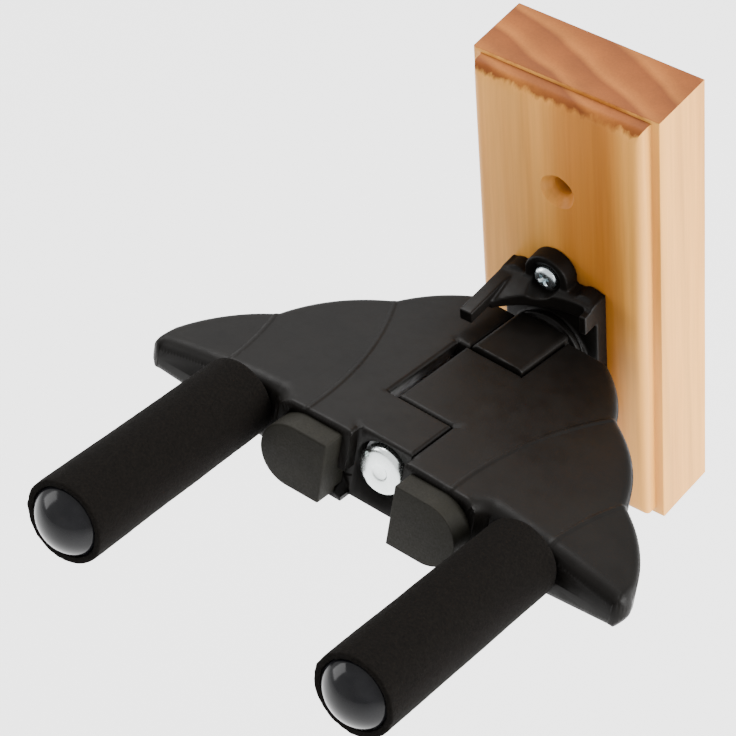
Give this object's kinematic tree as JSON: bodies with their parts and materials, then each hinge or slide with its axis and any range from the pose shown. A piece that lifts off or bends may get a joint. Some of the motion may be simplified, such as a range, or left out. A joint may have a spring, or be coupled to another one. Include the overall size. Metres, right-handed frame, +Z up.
{
  "type": "wall guitar hanger",
  "caption": "Wall hanger for a guitar: wood block with a swivelling yoke whose sprung wings fold down to grip the neck between foam-covered arms.",
  "frame": {"origin": "centre of the wood block's back face, where it meets the wall", "axes": "+Z up the wall, +Y into the wall (the hanger points along -Y), +X to the right seen from the room"},
  "size_m": [0.1521, 0.1837, 0.143],
  "materials": {
    "pine_wood": "clear satin lacquer",
    "black_plastic": "fine moulded satin",
    "zinc_screw": "bright zinc plated",
    "chrome_bolt": "bright plated",
    "zinc_steel": "zinc plated",
    "spring_steel": "oiled spring wire",
    "bright_rod": "drawn steel",
    "brass_bush": "turned",
    "black_foam": "closed-cell foam, matt",
    "gloss_cap": "polished",
    "dark_rubber": "matt moulded"
  },
  "bodies": {
    "wall_base": {"wood_block": "pine_wood", "wall_bracket": "black_plastic", "bracket_screws": "zinc_screw"},
    "hub": {"swivel_hub": "black_plastic", "axle_bolt": "chrome_bolt", "head_washer": "zinc_steel", "knuckle_washer": "zinc_steel", "hub_washer": "zinc_steel", "retaining_washer": "zinc_steel", "lock_nut": "zinc_steel"},
    "left_wing": {"left_wing_shell": "black_plastic", "left_wing_cover": "black_plastic", "left_cover_screws": "zinc_screw", "left_bush": "brass_bush", "left_arm_rod": "bright_rod", "left_arm_pin": "zinc_steel", "left_foam_sleeve": "black_foam", "left_end_cap": "gloss_cap", "left_neck_pad": "dark_rubber"},
    "right_wing": {"right_wing_shell": "black_plastic", "right_wing_cover": "black_plastic", "right_cover_screws": "zinc_screw", "right_bush": "brass_bush", "right_arm_rod": "bright_rod", "right_arm_pin": "zinc_steel", "right_foam_sleeve": "black_foam", "right_end_cap": "gloss_cap", "right_neck_pad": "dark_rubber", "torsion_spring": "spring_steel"}
  },
  "joints": [
    {"name": "yoke_swivel", "type": "hinge", "parent": "wall_base", "child": "hub", "pos_m": [0, -0.0264, -0.014], "axis": [0, -0.9781, 0.2079], "range_deg": [-3.7, 12.3]},
    {"name": "left_fold", "type": "hinge", "parent": "hub", "child": "left_wing", "pos_m": [0, -0.0264, -0.014], "axis": [0, -0.9781, 0.2079], "range_deg": [0, 30], "stiffness_Nm_per_rad": 0.15, "springref_deg": -45.84},
    {"name": "right_fold", "type": "hinge", "parent": "hub", "child": "right_wing", "pos_m": [0, -0.0264, -0.014], "axis": [0, -0.9781, 0.2079], "range_deg": [-30, 0], "stiffness_Nm_per_rad": 0.15, "springref_deg": 45.84, "deforming": ["torsion_spring"]}
  ],
  "couplings": [
    {"joint": "right_fold", "follows": "left_fold", "ratio": -1}
  ]
}
